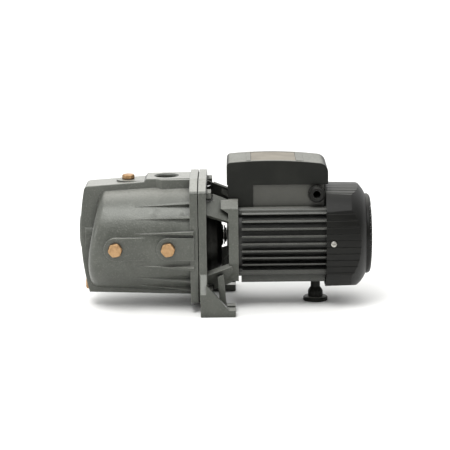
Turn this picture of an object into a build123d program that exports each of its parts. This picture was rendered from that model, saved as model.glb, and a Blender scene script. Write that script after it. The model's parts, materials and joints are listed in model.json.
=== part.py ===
from build123d import *
import math
import os

os.makedirs("parts", exist_ok=True)

# Overall sizes, in millimetres
shaft_height = 93.0
flange_height = 170.0
flange_low = 89.5
flange_width = 144.0
casing_length = 161.7
seal_sheet = 1.3
bracket_flange = 10.2
lantern_length = 29.6
end_plate = 12.9
frame_length = 117.6
hood_length = 64.4

# Pump end
casing_flange = 10.4
spine_half = 24.5
barrel_back = 76.6
barrel_front = 69.0
casing_wall = 6.5
mouth_radius = 64.0
port_radius = 15.15
port_depth = 22.0
thread_length = 18.0
suction_rise = 8.0
discharge_x = -42.9
filler_x = -95.0
side_plug_rise = -3.0
side_plug_x = (-109.9, -39.6)
drain_drop = 65.6
impeller_radius = 60.0
eye_radius = 21.0
bolt_y = 53.0
bolt_z = 66.0
bolt_radius = 4.0
dish_radius = 54.0
dish_depth = 31.0

# Brass plugs
plug_thread = 4.8
plug_flats = 17.0
filler_thread = 6.5
filler_flats = 15.0
filler_head = 4.8
plug_head = 5.0
washer_thick = 1.5

# Motor
shaft_radius = 7.0
front_bearing_bore = 8.5
front_bearing_outer = 20.0
front_bearing_width = 12.0
rear_bearing_bore = 7.5
rear_bearing_outer = 17.5
rear_bearing_width = 11.0
frame_bore = 53.0
frame_outer = 57.0
fin_tip = 65.0
fin_pitch = 9.8
fin_thick = 2.2
rotor_radius = 33.0
core_length = 60.0
rod_y = 45.5
rod_z = 41.0
rod_radius = 2.5
rear_tail = 4.0

# Hood, box and feet
hood_half = 69.5
hood_wall = 2.2
side_crown = 11.2
hood_draft = 1.1
grille_step = 1.2
grille_radius = 54.6
ledge_z = 46.0
box_half = 39.5
base_half = 37.5
box_split = 77.0
box_top = 108.8
gland_radius = 6.6
foot_spacing = 140.0
slot_width = 10.0
foot_half = 92.0
foot_thick = 9.3
rear_foot_radius = 16.8

# Clearances
running = 0.05
ball_gap = 0.15
free_gap = 0.5

# Stations along the shaft, from the casing's joint face
x_suction = -casing_length
x_flange = seal_sheet
x_lantern = x_flange + bracket_flange
x_plate = x_lantern + lantern_length
x_frame = x_plate + end_plate
x_hood = x_frame + frame_length
x_end = x_hood + hood_length
x_middle = (x_suction + x_end) / 2
half_h = flange_height / 2
half_w = flange_width / 2
floor = -shaft_height
x_front_bearing = x_frame - front_bearing_width
x_shield = x_hood + rear_tail
x_rear_bearing = x_shield - rear_bearing_width - 5
x_core = (x_frame + x_hood) / 2 - core_length / 2 - 4
x_box_left = x_plate - 2.0
x_box_right = x_hood + 3.6
x_base_left = x_frame + 20
x_base_right = x_hood - 1.8


def disc(x0, x1, radius):
    return Pos((x0 + x1) / 2, 0, 0) * Rot(0, 90, 0) * Cylinder(radius, x1 - x0)


def tube(x0, x1, outer, inner):
    return disc(x0, x1, outer) - disc(x0 - 1, x1 + 1, inner)


def turned(*points):
    face = make_face(Plane.XZ * Polyline(*points, close=True))
    return revolve(face, Axis.X)


def rod_y_axis(x, z, y0, y1, radius):
    return Pos(x, (y0 + y1) / 2, z) * Rot(90, 0, 0) * Cylinder(radius, abs(y1 - y0))


def rod_z_axis(x, y, z0, z1, radius):
    return Pos(x, y, (z0 + z1) / 2) * Cylinder(radius, abs(z1 - z0))


def block(x0, x1, y0, y1, z0, z1):
    centre = Pos((x0 + x1) / 2, (y0 + y1) / 2, (z0 + z1) / 2)
    return centre * Box(abs(x1 - x0), abs(y1 - y0), abs(z1 - z0))


def across(points, x0, x1, radius=0):
    face = make_face(Polyline(*points, close=True))
    if radius:
        face = fillet(face.vertices(), radius)
    return extrude(Plane.YZ.offset(x0) * face, x1 - x0)


def sideways(points, y0, y1):
    face = Plane.XZ.offset(-y0) * make_face(Polyline(*points, close=True))
    return extrude(face, y0 - y1)


def hex_bar(flats, height):
    return extrude(RegularPolygon(flats / 2, 6, major_radius=False), height)


def four_ways(piece):
    pair = [piece, mirror(piece, Plane.XZ)]
    return pair + [mirror(p, Plane.XY) for p in pair]


def both_sides(piece):
    return [piece, mirror(piece, Plane.XZ)]


def save(node, shape):
    placed = Pos(-x_middle, 0, shaft_height) * shape
    export_step(placed, "parts/" + node + ".step")


def group(pieces):
    return Compound(children=list(pieces))


# Casing


def flange_points():
    flat = half_w / 2
    drop = 12.0
    right = [(flat, half_h), (half_w, half_h - drop), (half_w + 3, 0)]
    right += [(half_w, drop - flange_low), (flat, -flange_low)]
    left = [(-y, z) for y, z in reversed(right)]
    return right + left


def spine():
    pad_x = discharge_x - 26.2
    front_top = (x_suction + 8.5, half_h - 11.4)
    front_low = (x_suction + 11.5, 12 - half_h)
    top = Polyline(
        front_top,
        (pad_x - 3.5, half_h - 5.8),
        (pad_x, half_h - 1.7),
        (-casing_flange / 2, half_h - 1.5),
        (-casing_flange / 2, 7.5 - half_h),
        front_low,
    )
    nose = ThreePointArc(front_low, (x_suction + 1.6, 4), front_top)
    face = make_face(Plane.XZ * (top + nose))
    body = extrude(face, spine_half, both=True)
    corners = body.edges().filter_by(Axis.Y).group_by(Axis.X)[0]
    body = fillet(corners, 7)
    rim = [e for e in body.edges() if abs(abs(e.center().Y) - spine_half) < 0.01]
    rim = [e for e in rim if e.center().X < -casing_flange]
    return fillet(rim, 1.5)


def barrel():
    core = turned((-5, 0), (-5, barrel_back), (-57, barrel_back - 1.6), (x_suction, barrel_front), (x_suction, 0))
    reach = barrel_back + 12
    front = x_suction + 14.7
    nose = Spline((front + 17, reach), (front + 8, 28), (front - 0.4, -20), (front + 9, -reach))
    back = Polyline((front + 9, -reach), (0, -reach), (0, reach), (front + 17, reach))
    keep = extrude(make_face(Plane.XZ * (nose + back)), reach, both=True)
    body = core & keep
    rim = body.edges().sort_by(lambda e: e.bounding_box().max.X)
    rim = [e for e in rim if e.center().X < front + 25]
    return fillet(rim, 11)


def rib(angle):
    root_top = barrel_back + 6.5
    root = [(-5, barrel_back - 9), (-2, root_top), (2, root_top), (5, barrel_back - 9)]
    tip = [(-0.8, barrel_back - 12), (-0.3, barrel_back - 3), (0.3, barrel_back - 3), (0.8, barrel_back - 12)]
    back = Plane.YZ.offset(-casing_flange / 2) * make_face(Polyline(*root, close=True))
    front = Plane.YZ.offset(-84) * make_face(Polyline(*tip, close=True))
    return Rot(90 - angle, 0, 0) * loft([back, front], ruled=True)


def ribs():
    near = [rib(angle) for angle in (43.5, 29, 13.5, -21.5, -38.5, -53.5)]
    return near + [mirror(r, Plane.XZ) for r in near]


def side_boss(x, face_y, fade_to, fade_y):
    radius = 15.5
    root = 55.0
    outline = [(x, root), (x, face_y), (x + 12, face_y), (fade_to, fade_y), (fade_to, root)]
    face = make_face(Polyline(*outline, close=True))
    run = extrude(Plane.XY.offset(side_plug_rise) * face, radius, both=True)
    return run + rod_y_axis(x, side_plug_rise, root, face_y, radius)


def side_bosses():
    first = side_boss(side_plug_x[0], side_face[0], -62, 72.5)
    second = side_boss(side_plug_x[1], side_face[1], -5, side_face[1])
    return both_sides(first) + both_sides(second)


side_face = (75.8, 77.6)
filler_top = half_h - 5.8
discharge_top = half_h - 1.6
drain_face = x_suction + 11.5
filler_pad = 16.0


def casing_outside():
    body = spine() + barrel()
    body += across(flange_points(), -casing_flange, 0, 5)
    thick = 5.0
    steps = [(discharge_x - 13, spine_half - 2), (discharge_x - 13, spine_half)]
    steps += [(discharge_x - 6, spine_half + thick), (-5, spine_half + thick), (-5, spine_half - 2)]
    pad = extrude(make_face(Polyline(*steps, close=True)), half_h - 2.6)
    low = half_h - 20
    body += [p - block(-200, 0, -99, 99, -1, low) for p in both_sides(pad)]
    body += ribs()
    body += side_bosses()
    body += rod_z_axis(filler_x, 0, half_h - 16, filler_top, filler_pad)
    body += block(filler_x, discharge_x - 26, -filler_pad, filler_pad, half_h - 16, filler_top)
    body += disc(drain_face, drain_face + 20, 9.5).moved(Location((0, 0, -drain_drop)))
    body -= disc(x_suction - 1, drain_face, 10).moved(Location((0, 0, -drain_drop)))
    boss = disc(x_suction, x_suction + 14, 23)
    boss = fillet(boss.edges().group_by(Axis.X)[0], 2.5)
    return body + boss.moved(Location((0, 0, suction_rise)))


def casing_cavity():
    deep = x_suction + 27
    hollow = turned(
        (1, 0),
        (1, mouth_radius),
        (-30, mouth_radius),
        (-36, barrel_back - casing_wall - 1.5),
        (deep + 10, barrel_front - casing_wall),
        (deep, 54),
        (deep, 0),
    )
    over = [(deep, 0), (deep, half_h - 19), (discharge_x - 30, half_h - 13), (-18, half_h - 13), (-18, 0)]
    return hollow + sideways(over, casing_wall - spine_half, spine_half - casing_wall)


pocket_radius = 22.0
pocket_end = x_suction + 46
wall_thick = 6.0
tube_seat = 13.0


def suction_pocket():
    outside = disc(x_suction + 8, pocket_end + wall_thick, pocket_radius + wall_thick)
    return outside.moved(Location((0, 0, suction_rise / 2)))


def nozzle_web():
    post = block(x_suction + 24, x_suction + 37, -7, 7, -24, 9)
    return fillet(post.edges().filter_by(Axis.Z), 5)


def make_casing():
    body = casing_outside() - casing_cavity()
    body += suction_pocket()
    inside = disc(x_suction + port_depth - 1, pocket_end, pocket_radius)
    body -= inside.moved(Location((0, 0, suction_rise / 2)))
    body += nozzle_web()
    port_root = discharge_top - thread_length - 2
    body += rod_z_axis(discharge_x, 0, port_root, half_h - 5, port_radius + 6)
    body -= disc(pocket_end - 1, pocket_end + wall_thick + 1, tube_seat)
    body -= rod_z_axis(x_suction + 30.5, 0, -40, 0, 3.5)
    body -= disc(x_suction + 30.5, x_suction + 40, nozzle_thread + running)
    port = disc(x_suction - 1, x_suction + port_depth, port_radius)
    port += turned((x_suction - 1, 0), (x_suction - 1, port_radius + 3), (x_suction + 2, port_radius), (x_suction + 2, 0))
    body -= port.moved(Location((0, 0, suction_rise)))
    body -= rod_z_axis(discharge_x, 0, port_root - 1, half_h + 5, port_radius)
    rim = Pos(discharge_x, 0, discharge_top) * Cone(port_radius, port_radius + 4, 4)
    body -= rim
    body -= rod_z_axis(filler_x, 0, 50, half_h + 5, filler_thread + running)
    body -= disc(drain_face - 5, x_suction + 40, filler_thread + running).moved(Location((0, 0, -drain_drop)))
    for x in side_plug_x:
        body -= rod_y_axis(x, side_plug_rise, -90, -50, plug_thread + running)
    for y in (-bolt_y, bolt_y):
        for z in (-bolt_z, bolt_z):
            body -= disc(-casing_flange - 1, 1, bolt_radius + running).moved(Location((0, y, z)))
    groove = tube(-ring_depth, 1, ring_centre + ring_depth / 2 + 0.2, ring_centre - ring_depth / 2 - 0.2)
    return body - groove


ring_centre = 67.6
ring_depth = 2.3
nozzle_thread = 5.0


def ring_seal(x, centre, section):
    return Pos(x, 0, 0) * Rot(0, 90, 0) * Torus(centre, section)


def make_nozzle():
    root = x_suction + 31
    tip = pocket_end - 1
    bore = [(tip, 2.8), (tip - 6, 3.0), (root + 2, 3.6), (root, 3.6)]
    outside = [(root, nozzle_thread), (root + 6, nozzle_thread), (root + 6, 7), (root + 9, 7), (tip, 4.6)]
    return turned(*outside, *bore)


collar_x = -38.0


def make_venturi():
    seat = pocket_end + wall_thick
    outside = [(pocket_end + 0.5, tube_seat - 0.1), (seat, tube_seat - 0.1), (seat, 18), (seat + 4, 18)]
    outside += [(seat + 6, 12.5), (collar_x - 2, 16), (collar_x + 10, 16)]
    inside = [(collar_x + 10, 14), (seat + 14, 6.5), (seat + 4, 6.5), (pocket_end + 0.5, 10.5)]
    return turned(*outside, *inside)


# Wet end


impeller_front = -12.0
impeller_back = -1.2
shroud = 2.2


def curved_vanes(count, inner, outer, x0, x1, thick, hand):
    radius = 0.7 * outer
    centre = 0.63 * outer
    sheet = tube(x0, x1, radius + thick / 2, radius - thick / 2)
    sheet = Pos(0, 0, centre) * sheet
    sheet = sheet & tube(x0, x1, outer, inner)
    sheet = sheet & block(x0 - 1, x1 + 1, 0, hand * 2 * outer, -2 * outer, 2 * outer)
    return [Rot(360 / count * n, 0, 0) * sheet for n in range(count)]


def make_impeller():
    back = impeller_back - shroud
    front = impeller_front + shroud
    body = tube(back, impeller_back, impeller_radius, shaft_radius)
    body += tube(impeller_front, front, impeller_radius, eye_radius - 2.5)
    body += tube(impeller_front - 7, impeller_front + 1, eye_radius, eye_radius - 2.5)
    body += curved_vanes(6, 17, impeller_radius, front - 0.5, back + 0.5, 2.4, 1)
    body += tube(impeller_front, hub_end, 12, shaft_radius)
    slot = block(impeller_front - 1, hub_end + 1, -key_half, key_half, 0, key_top)
    return body - slot


hub_end = 12.0
key_half = 2.5
key_top = 9.2


def make_key():
    return block(impeller_front + 2, hub_end - 2, -key_half, key_half, shaft_radius - 3, key_top)


def make_impeller_nut():
    nut = Pos(impeller_front - 7.5, 0, 0) * Rot(0, 90, 0) * hex_bar(17, 7.5)
    return nut - disc(impeller_front - 9, impeller_front + 1, nut_thread)


nut_thread = 5.0


def make_diffuser():
    front = impeller_front - 8.5
    plate = 3.0
    body = tube(front, front + plate, mouth_radius - free_gap, eye_radius + 0.4)
    body += tube(front, 0, mouth_radius - free_gap, mouth_radius - 2.6)
    body += curved_vanes(6, 28, mouth_radius - 2, front - 9, front + 0.5, 2.4, -1)
    cone = turned(
        (front + plate, eye_radius + 0.4),
        (front + plate, eye_radius + 7),
        (front - 9, 27),
        (collar_x + 4, 19.5),
        (collar_x - 2, 19.5),
        (collar_x - 2, 16.05),
        (collar_x + 10, 16.05),
        (front - 4, eye_radius + 0.4),
    )
    return body + cone


def make_seal_cover():
    t = seal_sheet
    back = dish_depth
    sheet = turned(
        (0, half_w),
        (0, dish_radius - t),
        (back - 14, dish_radius - t - 1.5),
        (back - 6, dish_radius - t - 5),
        (back - t, dish_radius - t - 13),
        (back - t, 12),
        (back, 12),
        (back, dish_radius - 12.4),
        (back - 5.2, dish_radius - 4),
        (back - 14, dish_radius - 0.2),
        (t, dish_radius),
        (t, half_w),
    )
    hub = turned(
        (seat_x, 12),
        (seat_x, 15.5),
        (back, 15.5),
        (back + 2.4, 12.5),
        (back + 2.4, shaft_radius + 1.5),
        (seat_x + seat_width, shaft_radius + 1.5),
        (seat_x + seat_width, 12),
    )
    return sheet + hub


seat_x = 24.0
seat_width = 5.5


def make_seal_seat():
    return tube(seat_x, seat_x + seat_width, 12, shaft_radius + 1)


def make_seal_ring():
    return turned(
        (seat_x - 4.5, shaft_radius),
        (seat_x - 4.5, 11.5),
        (seat_x - 1.5, 11.5),
        (seat_x - 1.5, 10.5),
        (seat_x, 10.5),
        (seat_x, shaft_radius),
    )


def make_seal_spring():
    wire = 0.6
    turns_length = seat_x - 4.5 - hub_end - 2 * wire - 0.1
    coil = Helix(turns_length / 3, turns_length, 9.4)
    section = Plane(origin=coil @ 0, z_dir=coil % 0) * Circle(wire)
    spring = sweep(section, path=coil)
    return Pos(hub_end + wire + 0.05, 0, 0) * Rot(0, 90, 0) * spring


# Bracket


def flange_with_feet():
    body = across(flange_points(), x_flange, x_lantern, 5)
    toe = [(50, -half_h + 12), (half_w + 1, -38), (foot_half, -62), (foot_half, floor + 2), (50, floor + 2)]
    for foot in both_sides(across(toe, x_toe, x_lantern)):
        body += foot
    return body


x_toe = x_flange + 1.5


def lantern_arm():
    near = [(68, 43), (45, 71), (42.5, 69), (61, 38.5)]
    far = [(63.5, 30.5), (46, 56), (43.5, 54), (57, 26)]
    front = Plane.YZ.offset(x_lantern - 4) * make_face(Polyline(*near, close=True))
    back = Plane.YZ.offset(x_plate + 4) * make_face(Polyline(*far, close=True))
    return loft([front, back], ruled=True)


def upper_pad():
    cheek = [(x_plate - 10, 49), (x_plate - 10, plate_top), (x_plate + 2, plate_top), (x_plate + 2, 41)]
    side = across(end_plate_points(), x_plate - 11, x_plate + 3)
    return sideways(cheek, 45, 64) & side


def lower_pad():
    cheek = [(x_plate - 7, -45), (x_plate - 7, -53), (x_plate + 2, 1 - plate_low), (x_plate + 2, -34)]
    side = across(end_plate_points(), x_plate - 11, x_plate + 3)
    return sideways(cheek, 44, 64) & side


def foot_pad():
    end = x_lantern + 38
    pad = block(x_toe, end, 50, foot_half, floor, floor + foot_thick)
    corners = [e for e in pad.edges().filter_by(Axis.Y) if e.center().Z < floor + 1]
    pad = fillet(corners, 2)
    web_top = x_lantern - 1
    outer_web = [(web_top, -49), (web_top, floor + 3), (x_lantern + 30, floor + 3), (x_lantern + 30, floor + 8.5)]
    body = pad + sideways(outer_web, foot_half - 8, foot_half)
    low = floor + 8
    strut = [(x_lantern + 14, -44), (x_lantern + 22, -41), (x_lantern + 26, low), (x_lantern + 17, low)]
    body += sideways(strut, 61, 66.5)
    slot = foot_spacing / 2
    centre = x_lantern + 30.3
    body -= rod_z_axis(centre, slot, floor - 1, floor + 20, slot_width / 2)
    body -= block(centre, end + 1, slot - slot_width / 2, slot + slot_width / 2, floor - 1, floor + 20)
    return body


plate_half = 64.0
plate_top = 57.5
plate_low = 54.0


def end_plate_points():
    upper = [(plate_half, plate_top - 9), (plate_half - 13, plate_top)]
    lower = [(plate_half - 14, -plate_low), (plate_half, 28 - plate_low)]
    right = lower + upper
    return right + [(-y, z) for y, z in reversed(right)]


head_pocket = 9.2


def make_bracket():
    body = flange_with_feet()
    body -= disc(x_flange - 1, x_lantern + 1, dish_radius + 2)
    body += four_ways(lantern_arm())
    body += across(end_plate_points(), x_plate, x_frame, 3)
    body += both_sides(upper_pad()) + both_sides(lower_pad())
    body += both_sides(foot_pad())
    body += disc(x_plate - 2.7, x_plate + 1, 27)
    body -= disc(x_front_bearing, x_frame + 1, front_bearing_outer)
    body -= disc(x_plate - 4, x_front_bearing + 1, shaft_radius + 3)
    for y in (-bolt_y, bolt_y):
        for z in (-bolt_z, bolt_z):
            body -= disc(x_flange - 1, x_lantern + 1, bolt_radius + free_gap).moved(Location((0, y, z)))
            body -= disc(x_lantern, x_lantern + 9, head_pocket).moved(Location((0, y, z)))
    for y in (-rod_y, rod_y):
        for z in (-rod_z, rod_z):
            body -= disc(x_frame - 10, x_frame + 1, rod_radius + running).moved(Location((0, y, z)))
    body -= tube(x_frame - 2, x_frame + 1, frame_outer, frame_bore)
    return body


def flange_bolt():
    under = x_lantern + 1.6
    head = Pos(under, 0, 0) * Rot(0, 90, 0) * hex_bar(13, 5.3)
    head = head & turned((under, 0), (under, 8), (under + 4.2, 8), (under + 5.3, 6.2), (under + 5.3, 0))
    return head + disc(-casing_flange + 1, under, bolt_radius)


def at_bolts(piece):
    spots = [(y, z) for y in (-bolt_y, bolt_y) for z in (-bolt_z, bolt_z)]
    return group(piece.moved(Location((0, y, z))) for y, z in spots)


# Plugs, each made pointing up with the seat at zero


def plug(thread, flats, head, length):
    body = hex_bar(flats, head)
    crown = Pos(0, 0, head / 2) * Cylinder(flats / 2 + 1, head)
    crown = chamfer(crown.edges().group_by(Axis.Z)[-1], 1.3)
    body = Pos(0, 0, washer_thick) * (body & crown)
    body += Pos(0, 0, (washer_thick - length) / 2) * Cylinder(thread, length + washer_thick)
    return body


def plug_washer(thread, flats):
    return Pos(0, 0, washer_thick / 2) * (Cylinder(flats / 2 + 0.8, washer_thick) - Cylinder(thread + 0.1, 9))


def upward(piece):
    return Pos(filler_x, 0, filler_top) * piece


def forward(piece):
    return Pos(drain_face, 0, -drain_drop) * Rot(0, -90, 0) * Rot(0, 0, 30) * piece


def sideward(piece, which):
    spot = Pos(side_plug_x[which], -side_face[which], side_plug_rise)
    return spot * Rot(90, 0, 0) * Rot(0, 0, 10) * piece


# Shaft line


def make_shaft():
    seat = x_front_bearing - 3
    tail = x_rear_bearing + rear_bearing_width
    body = turned(
        (impeller_front - 9.5, 0),
        (impeller_front - 9.5, nut_thread),
        (impeller_front, nut_thread),
        (impeller_front, shaft_radius),
        (seat, shaft_radius),
        (seat, front_bearing_bore),
        (x_frame, front_bearing_bore),
        (x_frame, 11),
        (x_rear_bearing, 11),
        (x_rear_bearing, rear_bearing_bore),
        (tail + 1, rear_bearing_bore),
        (tail + 1, tail_radius),
        (fan_x + fan_hub, tail_radius),
        (fan_x + fan_hub, 0),
    )
    keyway = block(impeller_front + 2, hub_end - 2, -key_half, key_half, shaft_radius - 3, key_top)
    return body - keyway


tail_radius = 6.0
fan_x = x_shield + 11
fan_hub = 20.0


def ball_spec(bore, outer):
    pitch = (bore + outer) / 2
    ball = (outer - bore) * 0.3
    return pitch, ball


def inner_ring(x0, bore, outer, width):
    pitch, ball = ball_spec(bore, outer)
    body = tube(x0, x0 + width, pitch - ball * 0.55, bore)
    return body - ring_seal(x0 + width / 2, pitch, ball + ball_gap)


def outer_ring(x0, bore, outer, width):
    pitch, ball = ball_spec(bore, outer)
    body = tube(x0, x0 + width, outer, pitch + ball * 0.55)
    return body - ring_seal(x0 + width / 2, pitch, ball + ball_gap)


def bearing_balls(x0, bore, outer, width, count):
    pitch, ball = ball_spec(bore, outer)
    one = Pos(x0 + width / 2, 0, pitch) * Sphere(ball)
    return group(Rot(360 / count * n, 0, 0) * one for n in range(count))


def bearing_cage(x0, bore, outer, width, count):
    pitch, ball = ball_spec(bore, outer)
    body = tube(x0 + 2, x0 + width - 2, pitch + 0.9, pitch - 0.9)
    pocket = Pos(x0 + width / 2, 0, pitch) * Sphere(ball + 0.02)
    for n in range(count):
        body -= Rot(360 / count * n, 0, 0) * pocket
    return body


def make_rotor_core():
    return tube(x_core, x_core + core_length, rotor_radius, 11)


def make_end_rings():
    thick = 5.0
    ring = tube(x_core - thick, x_core, rotor_radius - 1, 19)
    other = tube(x_core + core_length, x_core + core_length + thick, rotor_radius - 1, 19)
    return group([ring, other])


def make_stator_core():
    body = tube(x_core, x_core + core_length, frame_bore, rotor_radius + 0.35)
    slot = block(x_core - 1, x_core + core_length + 1, -2.2, 2.2, rotor_radius + 2, rotor_radius + 13)
    for n in range(24):
        body -= Rot(15 * n, 0, 0) * slot
    return body


def coil_head(x0, x1):
    body = tube(x0, x1, frame_bore - 4, rotor_radius + 2.5)
    return fillet(body.edges(), 3)


def make_windings():
    reach = 13.0
    return group([coil_head(x_core - reach, x_core), coil_head(x_core + core_length, x_core + core_length + reach)])


def make_slinger():
    x0 = dish_depth + 3.2
    return turned(
        (x0, shaft_radius),
        (x0, 13),
        (x0 + 1.2, 13),
        (x0 + 2.4, 9.6),
        (x0 + 3.6, 9.6),
        (x0 + 3.6, shaft_radius),
    )


# Motor frame


def frame_core():
    body = disc(x_frame, x_shield, frame_outer)
    body += disc(x_frame - 2, x_frame + 1, frame_outer)
    ledge = block(x_frame, x_shield - 3, -47, 47, ledge_z - 5, ledge_z)
    skid = [(44, -43), (45, -53), (41.5, -frame_outer - 0.2)]
    skid += [(-a, b) for a, b in reversed(skid)]
    body += ledge
    body += across(skid, x_frame + 3.5, x_shield - 5)
    lug = disc(x_frame, x_shield, rod_radius + 3).moved(Location((0, rod_y, rod_z)))
    body += [p - block(0, 999, -99, 99, ledge_z, 99) for p in four_ways(lug)]
    return body


def fins():
    rim = disc(x_frame + 4.5, x_hood + 0.8, fin_tip)
    plates = []
    for n in range(-4, 5):
        z = n * fin_pitch
        plates.append(block(x_frame + 4.5, x_hood + 0.8, -99, 99, z - fin_thick / 2, z + fin_thick / 2) & rim)
    return plates


def make_frame():
    body = frame_core() + fins()
    body -= disc(x_frame - 3, x_shield + 1, frame_bore)
    for y in (-rod_y, rod_y):
        for z in (-rod_z, rod_z):
            body -= disc(x_frame - 3, x_shield + 1, rod_radius + 0.3).moved(Location((0, y, z)))
    body -= rod_z_axis(rear_foot_x, 0, floor, -frame_bore + 2, foot_screw + running)
    return body - rod_z_axis(lead_x, 0, frame_bore - 5, frame_outer + 1, 7)


rear_foot_x = x_hood - 12.3
foot_screw = 2.5
lead_x = x_core - 9


def make_rear_shield():
    flange = 5.0
    body = disc(x_shield, x_shield + flange, fin_tip - 2)
    body += disc(x_shield - 5, x_shield + 1, frame_bore)
    body += disc(x_rear_bearing - 1, x_shield, rear_bearing_outer + 5)
    for lug in both_sides(block(x_shield + 1, x_shield + 10, 55, hood_half - hood_wall - 1.4, -7, 7)):
        body += lug
    body -= tube(x_shield - 6, x_shield + 2, frame_bore - 4, rear_bearing_outer + 9)
    body -= disc(x_rear_bearing - 2, x_rear_bearing + rear_bearing_width + 1, rear_bearing_outer)
    body -= disc(x_rear_bearing, x_shield + flange + 1, tail_radius + 3.5)
    for y in (-rod_y, rod_y):
        for z in (-rod_z, rod_z):
            body -= disc(x_shield - 1, x_shield + flange + 1, rod_radius + 0.3).moved(Location((0, y, z)))
    for y in (-1, 1):
        body -= rod_y_axis(hood_screw_x, 0, y * 50, y * 75, hood_screw + running)
    return body


hood_screw_x = x_shield + 5.5
hood_screw = 1.75


def make_wave_washer():
    x0 = x_rear_bearing + rear_bearing_width
    return tube(x0, x0 + 1, rear_bearing_outer - 0.2, rear_bearing_outer - 3.5)


def tie_rod():
    back = x_shield + 5
    rod = disc(x_frame - 9, back + 7, rod_radius)
    nut = Pos(back, 0, 0) * Rot(0, 90, 0) * hex_bar(8, 4)
    return rod + nut


def make_tie_rods():
    rods = [tie_rod().moved(Location((0, y, z))) for y in (-rod_y, rod_y) for z in (-rod_z, rod_z)]
    return group(rods)


def make_fan():
    body = tube(fan_x, fan_x + fan_hub, 12, tail_radius)
    body += tube(fan_x, fan_x + 2.2, 40, tail_radius)
    blade = block(fan_x, fan_x + 17, -1.1, 1.1, 11, 59)
    tip = [(fan_x - 1, 60), (fan_x - 1, 44), (fan_x + 5, 60)]
    blade -= sideways(tip, -2, 2)
    body += [Rot(45 * n, 0, 0) * blade for n in range(8)]
    return body


# Fan hood


def hood_section(inset):
    half = hood_half - inset
    corner = half - side_crown
    arcs = [
        ThreePointArc((-corner, corner), (0, half), (corner, corner)),
        ThreePointArc((corner, corner), (half, 0), (corner, -corner)),
        ThreePointArc((corner, -corner), (0, -half), (-corner, -corner)),
        ThreePointArc((-corner, -corner), (-half, 0), (-corner, corner)),
    ]
    face = make_face(arcs)
    return fillet(face.vertices(), 28)


dome_step = 9.6


def hood_solid(inset):
    long = hood_length - dome_step
    wide = Plane.YZ.offset(x_hood) * hood_section(inset)
    slim = Plane.YZ.offset(x_hood + long) * hood_section(inset + hood_draft)
    body = loft([wide, slim], ruled=True)
    start = x_hood + long - 21 - inset
    curve = ThreePointArc(
        (start, hood_half + 7 - inset),
        (x_hood + long - 6.2 - inset, hood_half - 3.9 - inset),
        (x_hood + long - inset, grille_radius + grille_step - inset),
    )
    tip = (x_hood + long - inset, grille_radius + grille_step - inset)
    edges = Polyline(tip, (x_hood + long - inset, 0), (x_hood, 0))
    edges += Polyline((x_hood, 0), (x_hood, hood_half + 7 - inset), (start, hood_half + 7 - inset))
    dome = revolve(make_face(Plane.XZ * (curve + edges)), Axis.X)
    return body & dome


def grille_solid(inset):
    base = x_end - 12
    r = grille_radius - inset
    end = x_end - inset
    edges = Polyline((end, 1), (end, 0), (base - 4, 0), (base - 4, r), (end - 6.5, r))
    edge_round = ThreePointArc((end - 6.5, r), (end - 3.7, r - 1.6), (end - 2.4, r - 5))
    crown = ThreePointArc((end - 2.4, r - 5), (end - 0.6, r / 2), (end, 1))
    return revolve(make_face(Plane.XZ * (edges + edge_round + crown)), Axis.X)


def grille_slots():
    pitch = 7.9
    cuts = []
    for n in range(8):
        z = 42 - n * pitch
        wide = math.sqrt((grille_radius - 6) ** 2 - z * z)
        cuts.append(block(x_end - 12, x_end + 1, -wide, wide, z - 2.1, z + 2.1))
        cuts.append(block(x_end - 5.2, x_end + 1, -grille_radius, grille_radius, z - 2.1, z + 2.1))
    return cuts


def hood_grooves():
    depth = 0.9
    corner = hood_half - side_crown
    bow = (corner**2 + side_crown**2) / (2 * side_crown)
    draft = math.degrees(math.atan(hood_draft / (hood_length - dome_step)))
    cuts = []
    for n in range(10):
        s = -40.5 + 9 * n
        low = hood_half - (bow - math.sqrt(bow**2 - s**2)) - depth
        bar = Pos(x_hood, 0, low) * Rot(0, draft, 0) * Pos(24, s, 2.5) * Box(54, 1.4, 5)
        cuts += [Rot(90 * turn, 0, 0) * bar for turn in range(4)]
    return cuts


def make_hood():
    body = hood_solid(0) + grille_solid(0)
    inside = hood_solid(hood_wall) + grille_solid(hood_wall)
    inside += block(x_hood - 1, x_hood + 0.5, -30, 30, -30, 30)
    body -= inside
    body -= grille_slots()
    body -= hood_grooves()
    for y in (-1, 1):
        body -= rod_y_axis(hood_screw_x, 0, y * 60, y * 75, hood_screw + 0.2)
        body -= rod_y_axis(hood_screw_x, 0, y * (hood_half - 1), y * 75, 4.6)
    return body


def make_hood_screws():
    seat = hood_half - 1
    shank = rod_y_axis(hood_screw_x, 0, 54, seat, hood_screw)
    head = rod_y_axis(hood_screw_x, 0, seat, seat + 2.2, 4)
    head = fillet(head.edges().group_by(Axis.Y)[-1], 1.2)
    cross = block(hood_screw_x - 2.2, hood_screw_x + 2.2, seat + 0.9, seat + 3, -0.5, 0.5)
    cross += block(hood_screw_x - 0.5, hood_screw_x + 0.5, seat + 0.9, seat + 3, -2.2, 2.2)
    return group(both_sides(shank + head - cross))


# Terminal box


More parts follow.
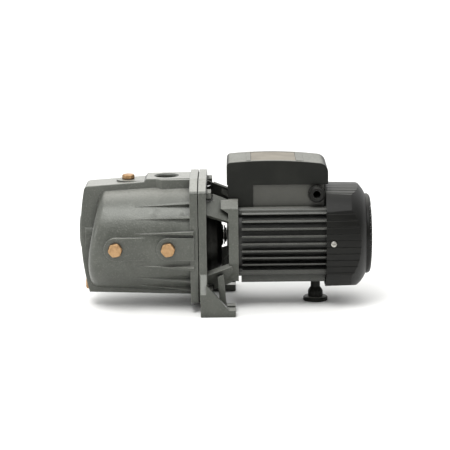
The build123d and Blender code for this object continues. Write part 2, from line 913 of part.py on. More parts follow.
def make_box_base():
    wall = 2.5
    body = block(x_base_left, x_base_right, -base_half, base_half, ledge_z, box_split)
    inner = base_half - wall
    room = block(x_base_left + wall, x_base_right - wall, -inner, inner, ledge_z + wall, box_split + 1)
    saddle = disc(x_base_left, x_base_right, frame_outer + 2.5)
    pads = [block(x, x + 4, -14, 14, 50, cap_z) for x in (cap_x + 8, cap_x + 48)]
    inner = (saddle + pads) & block(x_base_left, x_base_right, 1 - base_half, base_half - 1, ledge_z, 99)
    body = body - room + inner
    body -= disc(x_base_left - 1, x_base_right + 1, frame_outer + 0.02)
    body -= disc(cap_x - 1, cap_x + cap_length + 1, cap_radius + 0.02).moved(Location((0, 0, cap_z)))
    body -= rod_y_axis(gland_x, gland_z, -base_half - 1, -base_half + 4, gland_radius + 0.1)
    body -= rod_z_axis(lead_x, 0, 50, 70, 7)
    for x in cover_screw_x:
        body -= rod_y_axis(x, box_split - 5, base_half - 4, base_half + 1, 1.5 + running)
    return body


cap_x = x_base_left + 4
cap_length = 58.0
cap_radius = 15.0
cap_z = frame_outer + 18.5
gland_x = x_base_right - 10.4
gland_z = 64.0
cover_screw_x = (x_base_left + 14, x_base_right - 20)


def make_box_gasket():
    body = block(x_base_left, x_base_right, -base_half, base_half, box_split, box_split + 1)
    return body - block(x_base_left + 2.5, x_base_right - 2.5, 2.5 - base_half, base_half - 2.5, 0, 99)


def cover_profile(inset):
    left = x_box_left + inset
    right = x_box_right - inset
    middle = (left + right) / 2 - 6
    top = box_top - inset
    crown = ThreePointArc((left, top - 2.6), (middle, top), (right, top - 5.6))
    edges = Polyline((right, top - 5.6), (right, box_split - 1), (left, box_split - 1), (left, top - 2.6))
    return make_face(Plane.XZ * (crown + edges))


def cover_shape(inset, half):
    body = extrude(cover_profile(inset), half, both=True)
    ends = body.edges().filter_by(Axis.Y).group_by(Axis.Z)
    tops = [e for g in ends for e in g if e.center().Z > box_split + 5]
    tops = sorted(tops, key=lambda e: e.center().X)
    body = fillet([tops[-1]], 13 - inset)
    tops = [e for e in body.edges().filter_by(Axis.Y) if e.center().Z > box_split + 5]
    body = fillet([min(tops, key=lambda e: e.center().X)], 6 - inset)
    return body


def make_box_cover():
    wall = 2.4
    body = cover_shape(0, box_half)
    rim = [e for e in body.edges() if abs(abs(e.center().Y) - box_half) < 0.01 and e.center().Z > box_split + 2]
    body = fillet(rim, 1.6)
    leg = block(x_frame + 0.3, x_base_left, -box_half, box_half, ledge_z, box_split)
    leg -= disc(x_frame - 1, x_base_left + 1, frame_outer + 0.4)
    leg += block(x_box_left + 1.5, x_frame + 1, -box_half, box_half, plate_top + free_gap, box_split)
    body += leg
    body -= cover_shape(wall, box_half - wall)
    inner = box_half - wall
    body -= block(x_frame + 0.3 + wall, x_base_left - wall, -inner, inner, ledge_z - 1, box_split + 3)
    over_plate = plate_top + free_gap + wall
    body -= block(x_box_left + 1.5 + wall, x_frame + 3, -inner, inner, over_plate, box_split + 3)
    edge = base_half + 0.1
    sill = block(x_base_left - wall - 1, x_base_right + 0.2, -edge, edge, box_split - 2, box_split + 1)
    body -= sill & block(x_base_left, x_base_right + 0.2, -99, 99, 0, 99)
    for x in cover_screw_x:
        tab = block(x - 6, x + 6, base_half, box_half, box_split - 9, box_split + 1)
        body += tab
        body -= rod_y_axis(x, box_split - 5, base_half - 1, box_half + 1, 1.7)
    body -= block(label_x0, label_x1, -label_half, label_half, box_top - 0.9 - 2, 200) & cover_skin(0.9)
    strips = [block(label_x0 - 6, label_x0, -99, 99, 90, 200), block(label_x1, label_x1 + 10, -99, 99, 90, 200)]
    for strip in strips:
        body += strip & lifted_skin()
    return body


label_x0 = x_box_left + 32.5
label_x1 = x_box_right - 43
label_half = 33.5


def cover_skin(depth):
    shell = extrude(cover_profile(0), label_half, both=True)
    return shell - Pos(0, 0, -depth) * shell


def lifted_skin():
    half = box_half - 4
    shell = extrude(cover_profile(0), half, both=True)
    return Pos(0, 0, 0.5) * shell & block(0, 999, -99, 99, box_split + 20, 200) - Pos(0, 0, -1) * shell


def make_label():
    blank = block(label_x0 + 0.2, label_x1 - 0.2, 0.2 - label_half, label_half - 0.2, 90, 200)
    return blank & (Pos(0, 0, -0.3) * extrude(cover_profile(0), label_half, both=True)) - (
        Pos(0, 0, -0.9) * extrude(cover_profile(0), box_half, both=True)
    )


def make_cover_screws():
    screws = []
    for x in cover_screw_x:
        z = box_split - 5
        shank = rod_y_axis(x, z, base_half - 2.4, box_half, 1.5)
        head = rod_y_axis(x, z, box_half, box_half + 2, 3.2)
        slot = block(x - 2, x + 2, box_half + 1, box_half + 3, z - 0.4, z + 0.4)
        screws.append(shank + head - slot)
    return group(screws)


def make_terminal_block():
    x0 = cap_x + cap_length + 3
    body = block(x0, x0 + 14, -17, 17, 50, frame_outer + 16)
    body -= disc(x0 - 1, x0 + 15, frame_outer + 2.5)
    for y in (-11, 0, 11):
        body -= rod_z_axis(x0 + 4, y, frame_outer + 9, frame_outer + 17, 2.2)
        body -= rod_z_axis(x0 + 10, y, frame_outer + 9, frame_outer + 17, 2.2)
    return body


def make_capacitor():
    body = disc(cap_x, cap_x + cap_length, cap_radius)
    body = fillet(body.edges(), 1.5)
    body += disc(cap_x + cap_length, cap_x + cap_length + 1.5, 9)
    return body.moved(Location((0, 0, cap_z)))


def gland_turned(*points):
    body = revolve(make_face(Plane.XZ * Polyline(*[(r, h) for h, r in points], close=True)), Axis.Z)
    return Pos(gland_x, -base_half, gland_z) * Rot(90, 0, 0) * body


def make_gland_body():
    body = gland_turned((-8, 4.8), (-8, gland_radius), (0, gland_radius), (0, 10.6), (4.5, 10.6), (4.5, 8.8), (11, 8.8), (11, 4.8))
    wrench = hex_bar(20, 4.5) + Cylinder(gland_radius + 2.3, 60)
    return body & Pos(gland_x, -base_half, gland_z) * Rot(90, 0, 0) * Rot(0, 0, 30) * wrench


def make_gland_nut():
    return gland_turned((4.8, 8.9), (4.8, 11), (12, 11), (15.5, 8.8), (15.5, 6.2), (12.5, 6.2), (12.5, 8.9))


def make_gland_seal():
    return gland_turned((11, 5.35), (11, 8.7), (12.4, 8.7), (12.4, 6.1), (14.5, 6.1), (14.5, 5.35))


def make_gland_locknut():
    nut = hex_bar(15.2, 4) - Cylinder(gland_radius, 20)
    return Pos(gland_x, 2.5 - base_half, gland_z) * Rot(-90, 0, 0) * Rot(0, 0, 30) * nut


# Rear foot


def make_rear_foot():
    top = -frame_outer - 0.2
    outline = [
        (foot_screw + 0.3, top),
        (6.45, top),
        (6.45, floor + 19),
        (9.2, floor + 15),
        (10.2, floor + 13),
        (10.2, floor + 5.5),
        (rear_foot_radius - 1.2, floor + 5),
        (rear_foot_radius, floor + 3.8),
        (rear_foot_radius, floor),
        (5.2, floor),
        (5.2, floor + 4),
        (foot_screw + 0.3, floor + 4),
    ]
    face = make_face(Plane.XZ * Polyline(*outline, close=True))
    body = revolve(face, Axis.Z)
    for n in range(8):
        flute = Rot(0, 0, 45 * n) * rod_z_axis(11, 0, floor + 5.6, floor + 13.5, 1.3)
        body -= flute
    return Pos(rear_foot_x, 0, 0) * body


def make_foot_screw():
    head = rod_z_axis(rear_foot_x, 0, floor + 1.2, floor + 4, 4.6)
    return head + rod_z_axis(rear_foot_x, 0, floor + 4, 1.5 - frame_bore, foot_screw)


def make_pump_end():
    save("casing", make_casing())
    save("nozzle", make_nozzle())
    save("venturi_tube", make_venturi())
    save("diffuser", make_diffuser())
    save("impeller", make_impeller())
    save("impeller_key", make_key())
    save("impeller_nut", make_impeller_nut())
    save("seal_cover", make_seal_cover())
    save("flange_o_ring", ring_seal(-ring_depth / 2, ring_centre, ring_depth / 2))
    save("seal_seat", make_seal_seat())
    save("seal_ring", make_seal_ring())
    save("seal_spring", make_seal_spring())
    save("bracket", make_bracket())
    save("flange_bolts", at_bolts(flange_bolt()))
    save("bolt_washers", at_bolts(tube(x_lantern, x_lantern + 1.6, 7.4, bolt_radius + 0.2)))


def make_plugs():
    save("filler_plug", upward(plug(filler_thread, filler_flats, filler_head, 12)))
    save("filler_washer", upward(plug_washer(filler_thread, filler_flats)))
    save("drain_plug", forward(plug(filler_thread, filler_flats, filler_head, 12)))
    save("drain_washer", forward(plug_washer(filler_thread, filler_flats)))
    for n, name in enumerate(("front", "rear")):
        save("side_plug_" + name, sideward(plug(plug_thread, plug_flats, plug_head, 10), n))
        save("side_washer_" + name, sideward(plug_washer(plug_thread, plug_flats), n))


def make_shaft_line():
    save("shaft", make_shaft())
    save("slinger", make_slinger())
    front = (x_front_bearing, front_bearing_bore, front_bearing_outer, front_bearing_width)
    rear = (x_rear_bearing, rear_bearing_bore, rear_bearing_outer, rear_bearing_width)
    for name, spec in (("front", front), ("rear", rear)):
        save(name + "_bearing_inner_ring", inner_ring(*spec))
        save(name + "_bearing_outer_ring", outer_ring(*spec))
        save(name + "_bearing_balls", bearing_balls(*spec, 8))
        save(name + "_bearing_cage", bearing_cage(*spec, 8))
    save("rotor_core", make_rotor_core())
    save("rotor_end_rings", make_end_rings())
    save("fan", make_fan())


def make_motor():
    save("stator_core", make_stator_core())
    save("windings", make_windings())
    save("motor_frame", make_frame())
    save("rear_shield", make_rear_shield())
    save("wave_washer", make_wave_washer())
    save("tie_rods", make_tie_rods())
    save("fan_hood", make_hood())
    save("hood_screws", make_hood_screws())
    save("rear_foot", make_rear_foot())
    save("rear_foot_screw", make_foot_screw())


def make_terminal_box():
    save("box_base", make_box_base())
    save("box_gasket", make_box_gasket())
    save("box_cover", make_box_cover())
    save("box_label", make_label())
    save("cover_screws", make_cover_screws())
    save("terminal_block", make_terminal_block())
    save("capacitor", make_capacitor())
    save("gland_body", make_gland_body())
    save("gland_nut", make_gland_nut())
    save("gland_seal", make_gland_seal())
    save("gland_locknut", make_gland_locknut())


make_pump_end()
make_plugs()
make_shaft_line()
make_motor()
make_terminal_box()
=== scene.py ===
import json
import math
import bpy
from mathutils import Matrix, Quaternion, Vector


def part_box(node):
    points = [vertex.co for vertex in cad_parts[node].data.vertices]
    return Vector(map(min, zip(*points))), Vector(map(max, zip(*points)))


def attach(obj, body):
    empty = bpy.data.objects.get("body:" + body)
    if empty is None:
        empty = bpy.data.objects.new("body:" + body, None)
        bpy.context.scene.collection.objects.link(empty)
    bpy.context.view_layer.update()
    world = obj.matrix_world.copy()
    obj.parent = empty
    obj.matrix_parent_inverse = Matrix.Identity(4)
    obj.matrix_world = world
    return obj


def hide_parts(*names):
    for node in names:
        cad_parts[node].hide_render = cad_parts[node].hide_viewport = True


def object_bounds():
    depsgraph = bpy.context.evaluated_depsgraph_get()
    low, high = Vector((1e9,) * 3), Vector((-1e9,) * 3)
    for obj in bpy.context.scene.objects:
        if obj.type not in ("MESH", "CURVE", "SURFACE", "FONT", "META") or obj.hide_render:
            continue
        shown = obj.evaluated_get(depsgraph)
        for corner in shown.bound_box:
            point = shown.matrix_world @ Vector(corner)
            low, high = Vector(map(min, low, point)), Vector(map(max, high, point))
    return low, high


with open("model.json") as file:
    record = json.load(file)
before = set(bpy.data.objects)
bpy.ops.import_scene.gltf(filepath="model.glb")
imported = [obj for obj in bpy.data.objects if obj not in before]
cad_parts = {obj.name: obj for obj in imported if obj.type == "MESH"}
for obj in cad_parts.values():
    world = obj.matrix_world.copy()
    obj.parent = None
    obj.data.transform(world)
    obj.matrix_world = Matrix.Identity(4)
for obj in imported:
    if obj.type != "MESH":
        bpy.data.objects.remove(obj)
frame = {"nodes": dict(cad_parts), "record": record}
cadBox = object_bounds()


# Shader sums

class Wire:
    # the output of a node, so that sums on it read as plain arithmetic
    def __init__(self, shader, socket):
        self.shader = shader
        self.socket = socket

    def __add__(self, other):
        return self.shader.sums("ADD", self, other)

    def __radd__(self, other):
        return self.shader.sums("ADD", other, self)

    def __sub__(self, other):
        return self.shader.sums("SUBTRACT", self, other)

    def __rsub__(self, other):
        return self.shader.sums("SUBTRACT", other, self)

    def __mul__(self, other):
        return self.shader.sums("MULTIPLY", self, other)

    def __rmul__(self, other):
        return self.shader.sums("MULTIPLY", other, self)

    def __truediv__(self, other):
        return self.shader.sums("DIVIDE", self, other)

    def __pow__(self, other):
        return self.shader.sums("POWER", self, other)

    def __gt__(self, other):
        return self.shader.sums("GREATER_THAN", self, other)

    def __lt__(self, other):
        return self.shader.sums("LESS_THAN", self, other)


class Shader:
    def __init__(self, tree):
        self.tree = tree
        tree.nodes.clear()

    def node(self, kind, settings, inputs, output=0):
        made = self.tree.nodes.new("ShaderNode" + kind)
        for name, value in settings.items():
            setattr(made, name, value)
        for name, value in inputs.items():
            if isinstance(value, Wire):
                self.tree.links.new(value.socket, made.inputs[name])
            else:
                made.inputs[name].default_value = value
        return Wire(self, made.outputs[output]) if made.outputs else None

    def sums(self, operation, first, second):
        return self.node("Math", {"operation": operation}, {0: first, 1: second})

    def place(self, stretch=(1, 1, 1), turn=(0, 0, 0), shift=(0, 0, 0)):
        point = self.node("TexCoord", {}, {}, "Object")
        return self.node("Mapping", {}, {"Vector": point, "Scale": stretch, "Rotation": turn, "Location": shift})

    def noise(self, size, detail=2.0, rough=0.5, at=None):
        # size is the width of one blotch in metres
        inputs = {"Vector": at or self.place(), "Scale": 1 / size, "Detail": detail, "Roughness": rough}
        return self.node("TexNoise", {}, inputs)

    def grains(self, size, at=None, feature="F1"):
        inputs = {"Vector": at or self.place(), "Scale": 1 / size}
        return self.node("TexVoronoi", {"feature": feature}, inputs)

    def span(self, value, low, high, outLow=0.0, outHigh=1.0):
        ends = {"From Min": low, "From Max": high, "To Min": outLow, "To Max": outHigh}
        return self.node("MapRange", {"interpolation_type": "SMOOTHSTEP"}, {"Value": value, **ends})

    def blend(self, amount, first, second):
        colours = {"Factor": amount, 6: tint(first), 7: tint(second)}
        return self.node("Mix", {"data_type": "RGBA"}, colours, 2)

    def axis(self, letter, at=None):
        return self.node("SeparateXYZ", {}, {"Vector": at or self.place()}, letter)

    def wornAndHighlight(self, radius):
        # how far the rounded normal leaves the flat one: 0 on open faces, up at the edges; most finishes lighten
        # edges by it, as edge wear and a painted edge highlight
        soft = self.node("Bevel", {"samples": 4}, {"Radius": radius})
        flat = self.node("NewGeometry", {}, {}, "Normal")
        alike = self.node("VectorMath", {"operation": "DOT_PRODUCT"}, {0: soft, 1: flat}, "Value")
        return soft, 1 - alike

    def paintedTopLight(self):
        # painted top light: a lighter colour on faces that look up, mottled by noise
        up = self.axis("Z", self.node("NewGeometry", {}, {}, "Normal"))
        return self.span(up, 0.72, 1.0) * self.span(self.noise(0.003, 3, 0.6), 0.2, 0.6, 0.6, 1.0)

    def bump(self, height, depth, strength=1.0, under=None):
        inputs = {"Height": height, "Distance": depth, "Strength": strength}
        if under:
            inputs["Normal"] = under
        return self.node("Bump", {}, inputs)

    def crevice(self, reach):
        return self.node("AmbientOcclusion", {"samples": 6}, {"Distance": reach}, "AO")

    def surface(self, inputs):
        skin = self.node("BsdfPrincipled", {}, inputs)
        self.node("OutputMaterial", {}, {"Surface": skin})


def tint(colour):
    # colours are written as seen on a screen, 0 to 255, and shaders want them linear
    if isinstance(colour, Wire):
        return colour
    return tuple((c / 255 / 12.92 if c < 10.3 else ((c / 255 + 0.055) / 1.055) ** 2.4) for c in colour) + (1.0,)


def newFinish(name):
    material = bpy.data.materials.new(name)
    material.use_nodes = True
    return material, Shader(material.node_tree)


# Finishes

castPaint = {
    "colour": (80, 82, 76), "deep": (71, 73, 67), "paintedTopLight": (160, 160, 153), "paintedTopLightAmount": 0.75, "edge": (150, 151, 144), "dustAndShade": (30, 31, 28),
    "speck": (118, 119, 112), "peel": 0.0022, "grit": 0.0008, "blotch": 0.022, "peelDepth": 0.0004,
    "gritDepth": 0.0002, "gloss": 0.34, "round": 0.0016, "reach": 0.014,
}


def paintedIron(name, look):
    material, s = newFinish(name)
    soft, edge = s.wornAndHighlight(look["round"])
    blotch = s.noise(look["blotch"], 3)
    peel = s.noise(look["peel"], 3, 0.6)
    grit = s.noise(look["grit"], 2, 0.7)
    rough = s.span(s.noise(0.022, 2), 0.5, 0.68)
    colour = s.blend(s.span(blotch, 0.3, 0.7), look["deep"], look["colour"])
    colour = s.blend(s.span(peel, 0.5, 0.72) * 0.35, colour, look["speck"])
    colour = s.blend(s.span(grit, 0.55, 0.75) * 0.3, colour, look["speck"])
    # painted top light: faces that look up are lightened
    colour = s.blend(s.paintedTopLight() * look["paintedTopLightAmount"], colour, look["paintedTopLight"])
    # edge wear and painted highlight: edges are lightened towards the edge colour
    colour = s.blend(s.span(edge, 0.03, 0.3) * 0.6, colour, look["edge"])
    # painted shade: crevices and recesses darken towards a near-black colour, from the AO node
    colour = s.blend(s.span(s.crevice(look["reach"]), 0.82, 0.3) * 0.85, colour, look["dustAndShade"])
    gloss = look["gloss"] + s.span(peel, 0.3, 0.7) * 0.12 + rough * 0.08
    normal = s.bump(peel, look["peelDepth"], 0.8, soft)
    normal = s.bump(grit * (0.5 + rough), look["gritDepth"], 0.9, normal)
    s.surface({"Base Color": colour, "Roughness": gloss, "Metallic": 0.3, "Normal": normal, "Coat Weight": 0.15,
               "Coat Roughness": 0.25, "IOR": 1.5})
    return material


mouldedPlastic = {
    "colour": (16, 16, 14), "wornAndHighlight": (46, 46, 42), "paintedTopLight": (96, 96, 90), "paintedTopLightAmount": 0.3, "grain": 0.0007, "grainDepth": 0.00007, "gloss": 0.32,
    "round": 0.0012, "shine": 0.2,
}


def plastic(name, look):
    material, s = newFinish(name)
    soft, edge = s.wornAndHighlight(look["round"])
    grain = s.noise(look["grain"], 2, 0.6)
    cloud = s.noise(0.04, 2)
    # edge wear and painted highlight: edges are lightened
    colour = s.blend(s.span(edge, 0.03, 0.4) * 0.35, look["colour"], look["wornAndHighlight"])
    colour = s.blend(s.span(cloud, 0.4, 0.7) * 0.12, colour, look["wornAndHighlight"])
    # painted top light and sheen: faces that look up are lightened
    colour = s.blend(s.paintedTopLight() * look["paintedTopLightAmount"], colour, look["paintedTopLight"])
    gloss = look["gloss"] + s.span(grain, 0.3, 0.7) * 0.1 + s.span(cloud, 0.35, 0.65) * 0.06
    normal = s.bump(grain, look["grainDepth"], 0.7, soft)
    s.surface({"Base Color": colour, "Roughness": gloss, "Normal": normal, "IOR": 1.5,
               "Specular IOR Level": look["shine"]})
    return material


rolledMetal = {
    "colour": (190, 188, 182), "dark": (120, 118, 112), "stretch": (60, 1, 1), "scratch": 0.0012,
    "gloss": 0.28, "round": 0.0005, "depth": 0.00003,
}


def metal(name, look):
    material, s = newFinish(name)
    soft, edge = s.wornAndHighlight(look["round"])
    lines = s.noise(look["scratch"], 3, 0.6, s.place(look["stretch"]))
    stain = s.noise(0.007, 3, 0.6)
    colour = s.blend(s.span(stain, 0.42, 0.72) * 0.6, look["colour"], look["dark"])
    colour = s.blend(s.span(lines, 0.35, 0.7) * 0.35, colour, look["dark"])
    # painted shade: crevices darken towards the dark colour, from the AO node
    colour = s.blend(s.span(s.crevice(0.003), 0.7, 0.2) * 0.6, colour, look["dark"])
    gloss = look["gloss"] + s.span(stain, 0.3, 0.7) * 0.14 + s.span(lines, 0.3, 0.7) * 0.1
    normal = s.bump(lines, look["depth"], 0.8, soft)
    s.surface({"Base Color": colour, "Roughness": gloss, "Metallic": 1.0, "Normal": normal})
    return material


def windingFinish(name):
    material, s = newFinish(name)
    turns = s.node("TexWave", {"wave_type": "RINGS", "rings_direction": "X"},
                   {"Vector": s.place(), "Scale": 260.0, "Distortion": 1.4, "Detail": 1.0})
    tape = s.noise(0.006, 2)
    colour = s.blend(turns, (120, 58, 26), (205, 118, 62))
    colour = s.blend(s.span(tape, 0.5, 0.6) * 0.3, colour, (92, 44, 22))
    s.surface({"Base Color": colour, "Roughness": 0.3 + tape * 0.15, "Metallic": 0.7,
               "Normal": s.bump(turns, 0.0006)})
    return material


def laminated(name):
    material, s = newFinish(name)
    sheets = s.node("TexWave", {"bands_direction": "X"}, {"Vector": s.place(), "Scale": 320.0, "Distortion": 0.4})
    rust = s.noise(0.009, 4, 0.6)
    colour = s.blend(sheets, (70, 70, 74), (136, 136, 140))
    colour = s.blend(s.span(rust, 0.55, 0.75) * 0.5, colour, (96, 70, 52))
    s.surface({"Base Color": colour, "Roughness": 0.34 + rust * 0.2, "Metallic": 0.9,
               "Normal": s.bump(sheets, 0.0002)})
    return material


def labelFilm(name):
    material, s = newFinish(name)
    dots = s.noise(0.0009, 2)
    fade = s.noise(0.03, 2)
    across = s.axis("Y")
    rows = s.node("Math", {"operation": "PINGPONG"}, {0: across, 1: 0.005})
    ruled = s.span(rows, 0.0003, 0.0006, 0.5, 0.0)
    colour = s.blend(s.span(fade, 0.35, 0.7), (116, 110, 99), (128, 122, 110))
    colour = s.blend(ruled, colour, (98, 94, 85))
    s.surface({"Base Color": colour, "Roughness": 0.62 + dots * 0.15, "Normal": s.bump(dots, 0.00003)})
    return material


def rubber(name):
    material, s = newFinish(name)
    soft, edge = s.wornAndHighlight(0.001)
    grain = s.noise(0.0009, 3, 0.65)
    dustAndShade = s.noise(0.01, 3)
    colour = s.blend(s.span(dustAndShade, 0.45, 0.7) * 0.4, (30, 30, 29), (62, 61, 57))
    # edge wear and painted highlight: edges are lightened
    colour = s.blend(s.span(edge, 0.05, 0.4) * 0.3, colour, (80, 79, 75))
    s.surface({"Base Color": colour, "Roughness": 0.6 + grain * 0.15, "Normal": s.bump(grain, 0.00012, 0.8, soft)})
    return material


def brassFinish(name):
    material, s = newFinish(name)
    soft, edge = s.wornAndHighlight(0.0007)
    facing = s.node("TexWave", {"wave_type": "RINGS", "rings_direction": "Y"},
                    {"Vector": s.place(), "Scale": 480.0, "Distortion": 2.5, "Detail": 2.0})
    cloud = s.noise(0.004, 3, 0.6)
    grain = s.noise(0.0006, 2, 0.7)
    colour = s.blend(s.span(cloud, 0.35, 0.7), (178, 144, 106), (160, 127, 91))
    # edge wear and painted highlight: edges are lightened
    colour = s.blend(s.span(edge, 0.03, 0.3) * 0.5, colour, (206, 180, 142))
    colour = s.blend(s.span(s.crevice(0.003), 0.75, 0.25) * 0.6, colour, (120, 84, 48))
    gloss = 0.36 + s.span(cloud, 0.3, 0.7) * 0.12 + facing * 0.05
    normal = s.bump(grain + facing * 0.4, 0.00005, 0.8, soft)
    s.surface({"Base Color": colour, "Roughness": gloss, "Metallic": 0.85, "Normal": normal})
    return material


# the motor paint's light edge colour is a painted highlight on the fin tips, together with edge wear
motorPaint = {**castPaint, "colour": (64, 65, 61), "deep": (57, 58, 54), "paintedTopLightAmount": 0.45, "edge": (136, 136, 130),
              # the near-black crevice colour here is painted shade between the fins
              "speck": (84, 85, 80), "dustAndShade": (10, 10, 9), "peel": 0.0012, "peelDepth": 0.00014, "gloss": 0.36,
              "round": 0.0009, "reach": 0.011}
coverPlastic = {**mouldedPlastic, "colour": (24, 25, 22), "wornAndHighlight": (58, 58, 53), "gloss": 0.4, "grain": 0.0009, "shine": 0.16,
                # the light top colour here is a painted sheen on the cover's top faces
                "paintedTopLight": (132, 132, 125), "paintedTopLightAmount": 0.8}
baseMetal = {**castPaint, "colour": (68, 68, 63), "deep": (62, 62, 57), "edge": (116, 116, 110),
             "speck": (76, 76, 71), "peel": 0.0009, "peelDepth": 0.0001, "gloss": 0.44, "round": 0.0008,
             "reach": 0.004}
shieldMetal = {**rolledMetal, "colour": (150, 150, 148), "dark": (98, 98, 96), "stretch": (1, 1, 1), "gloss": 0.42}
steelLook = {**rolledMetal, "stretch": (1, 20, 20), "gloss": 0.25}
darkSteel = {**rolledMetal, "colour": (44, 44, 42), "dark": (24, 24, 22), "stretch": (1, 1, 1), "gloss": 0.36,
             "round": 0.0015}
washerLook = {**rolledMetal, "colour": (112, 92, 72), "dark": (62, 52, 42), "stretch": (1, 1, 1), "gloss": 0.5}
ceramicLook = {**mouldedPlastic, "colour": (222, 216, 204), "wornAndHighlight": (236, 232, 224), "gloss": 0.2}
graphiteLook = {**mouldedPlastic, "colour": (40, 40, 42), "wornAndHighlight": (88, 88, 92), "gloss": 0.3}
whiteNylon = {**mouldedPlastic, "colour": (214, 212, 204), "wornAndHighlight": (228, 226, 220), "gloss": 0.42}
resinLook = {**mouldedPlastic, "colour": (58, 60, 66), "wornAndHighlight": (96, 98, 104), "gloss": 0.38}

finishes = {
    "grey_paint": paintedIron("castPaint", castPaint),
    "motor_paint": paintedIron("motorPaint", motorPaint),
    "shield_alu": metal("shieldMetal", shieldMetal),
    "brass": brassFinish("brass"),
    "steel": metal("steel", steelLook),
    "black_steel": metal("darkSteel", darkSteel),
    "lamination": laminated("lamination"),
    "copper": windingFinish("windingCopper"),
    "black_plastic": plastic("hoodPlastic", mouldedPlastic),
    "box_metal": paintedIron("boxPaint", baseMetal),
    "resin": plastic("resin", resinLook),
    "white_plastic": plastic("whiteNylon", whiteNylon),
    "label": labelFilm("labelFilm"),
    "rubber": rubber("rubber"),
    "ceramic": plastic("ceramic", ceramicLook),
    "graphite": plastic("graphite", graphiteLook),
}
coverFinish = plastic("coverPlastic", coverPlastic)
washerFinish = metal("sealingWasher", washerLook)

for part in frame["record"]["subparts"]:
    skin = frame["nodes"][part["node"]].data.materials
    skin.clear()
    skin.append(finishes[part["material_slot"]])
for name in ("box_cover", "rear_foot"):
    frame["nodes"][name].data.materials[0] = coverFinish
for part in frame["record"]["subparts"]:
    if "washer" in part["node"] and part["material_slot"] == "copper":
        frame["nodes"][part["node"]].data.materials[0] = washerFinish
print("finishes:", len(finishes))


# Cable gland's nut, a ribbed grip round an open mouth

glandNut = {
    "ribs": 22, "ribDepth": 0.0006, "ribGap": 0.0002, "grip": 0.72, "taper": 0.0021, "bore": 0.00885,
    "mouth": 0.0063, "lip": 0.003, "round": 0.00025,
}


def pick(piece, wanted):
    bpy.ops.object.mode_set(mode="EDIT")
    bpy.ops.mesh.select_mode(type="FACE")
    bpy.ops.mesh.select_all(action="DESELECT")
    bpy.ops.object.mode_set(mode="OBJECT")
    for face in piece.data.polygons:
        face.select = wanted(face)
    bpy.ops.object.mode_set(mode="EDIT")


def drill(piece, radius, middle, depth):
    bpy.ops.object.select_all(action="DESELECT")
    bpy.ops.mesh.primitive_cylinder_add(vertices=64, radius=radius, depth=depth, location=middle,
                                        rotation=(math.pi / 2, 0, 0))
    drillBit = bpy.context.object
    bpy.context.view_layer.objects.active = piece
    hole = piece.modifiers.new("hole", "BOOLEAN")
    hole.operation = "DIFFERENCE"
    hole.object = drillBit
    bpy.ops.object.modifier_apply(modifier="hole")
    bpy.data.objects.remove(drillBit, do_unlink=True)


def makeGlandNut():
    look = glandNut
    low, high = (Vector(c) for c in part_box("gland_nut"))
    middle = (low + high) / 2
    length = high.y - low.y
    grip = length * look["grip"]
    radius = (high.x - low.x) / 2
    bpy.ops.object.select_all(action="DESELECT")
    bpy.ops.mesh.primitive_cylinder_add(vertices=look["ribs"] * 2, radius=radius, depth=grip,
                                        location=(middle.x, high.y - grip / 2, middle.z),
                                        rotation=(math.pi / 2, 0, 0))
    nut = bpy.context.object
    nut.name = "glandGrip"
    step = math.pi / look["ribs"]
    pick(nut, lambda face: abs(face.normal.z) < 0.1
         and int((math.atan2(face.center.y, face.center.x) + math.tau) / step) % 2 == 0)
    bpy.ops.mesh.inset(thickness=look["ribGap"], depth=-look["ribDepth"], use_individual=True)
    pick(nut, lambda face: face.normal.z > 0.9)
    bpy.ops.mesh.inset(thickness=look["taper"] * 0.45, depth=0)
    bpy.ops.mesh.inset(thickness=look["taper"] * 0.55, depth=length - grip)
    bpy.ops.object.mode_set(mode="OBJECT")
    drill(nut, look["bore"], (middle.x, high.y - (length - look["lip"]) / 2 + 0.001, middle.z),
          length - look["lip"] + 0.002)
    drill(nut, look["mouth"], middle, length * 2)
    bpy.ops.object.select_all(action="DESELECT")
    nut.select_set(True)
    bpy.context.view_layer.objects.active = nut
    bpy.ops.object.transform_apply(location=True, rotation=True, scale=True)
    soften = nut.modifiers.new("soften", "BEVEL")
    soften.width = look["round"]
    soften.segments = 2
    soften.limit_method = "ANGLE"
    bpy.ops.object.modifier_apply(modifier="soften")
    bpy.ops.object.shade_smooth_by_angle(angle=0.6)
    nut.data.materials.append(finishes["black_plastic"])
    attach(nut, "pump")
    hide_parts("gland_nut")


makeGlandNut()
print("gland nut is ribbed and bored")


# Floor, light and camera

studio = {
    "floor": 24.0, "floorColour": (238, 238, 236), "low": 0.1, "top": 1.45, "behind": 1.0,
    "lights": (((-0.3, -0.75, 1.5), 0.8, 17.0), ((-1.6, -0.55, 0.55), 0.5, 6.5)),
}


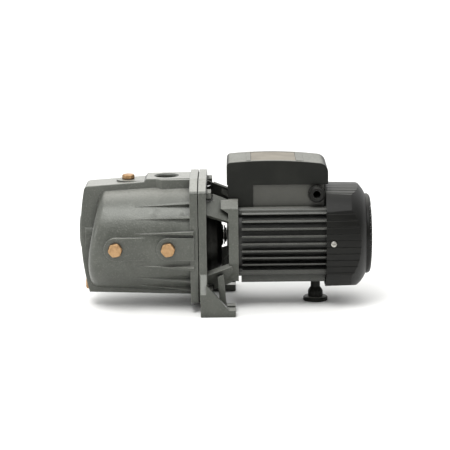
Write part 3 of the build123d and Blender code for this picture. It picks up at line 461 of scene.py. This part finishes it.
def makeFloor():
    bpy.ops.mesh.primitive_plane_add(size=studio["floor"], location=(0, 0, cadBox[0].z))
    floor = bpy.context.object
    floor.name = "floor"
    material, s = newFinish("paleFloor")
    cloud = s.noise(0.5, 2)
    colour = s.blend(cloud, studio["floorColour"], (242, 242, 240))
    s.surface({"Base Color": colour, "Roughness": 0.8 + cloud * 0.1, "Specular IOR Level": 0.2})
    floor.data.materials.append(material)


def makeSky():
    world = bpy.data.worlds.new("studio")
    bpy.context.scene.world = world
    world.use_nodes = True
    s = Shader(world.node_tree)
    way = s.node("TexCoord", {}, {}, "Generated")
    up = s.axis("Z", way)
    back = s.axis("Y", way)
    glow = studio["low"] + s.span(up, 0.15, 0.95) * studio["top"] + s.span(back, -0.1, 0.9) * studio["behind"]
    sky = s.node("Background", {}, {"Color": (1, 1, 1, 1), "Strength": glow})
    s.node("OutputWorld", {}, {"Surface": sky})


def makeLights():
    for place, size, power in studio["lights"]:
        bpy.ops.object.light_add(type="AREA", location=place)
        lamp = bpy.context.object
        lamp.data.size = size
        lamp.data.energy = power
        lamp.rotation_mode = "QUATERNION"
        lamp.rotation_quaternion = (Vector((0, 0, 0.1)) - lamp.location).to_track_quat("-Z", "Y")


view = {"away": 2.3, "lift": 12.0, "swing": 0.5, "roll": 0.0131, "lens": 134.3, "aimX": -0.00135, "aimZ": 0.1063}


def makeCamera():
    lift = math.radians(view["lift"])
    swing = math.radians(view["swing"])
    aim = Vector((view["aimX"], 0, view["aimZ"]))
    back = Vector((math.cos(lift) * math.sin(swing), -math.cos(lift) * math.cos(swing), math.sin(lift)))
    bpy.ops.object.camera_add(location=aim + back * view["away"])
    camera = bpy.context.object
    camera.data.lens = view["lens"]
    camera.rotation_mode = "QUATERNION"
    camera.rotation_quaternion = (-back).to_track_quat("-Z", "Y") @ Quaternion((0, 0, 1), -view["roll"])
    bpy.context.scene.camera = camera


makeFloor()
makeSky()
makeLights()
makeCamera()
bpy.context.scene.view_settings.view_transform = "Standard"
print("floor, light and camera are in place")
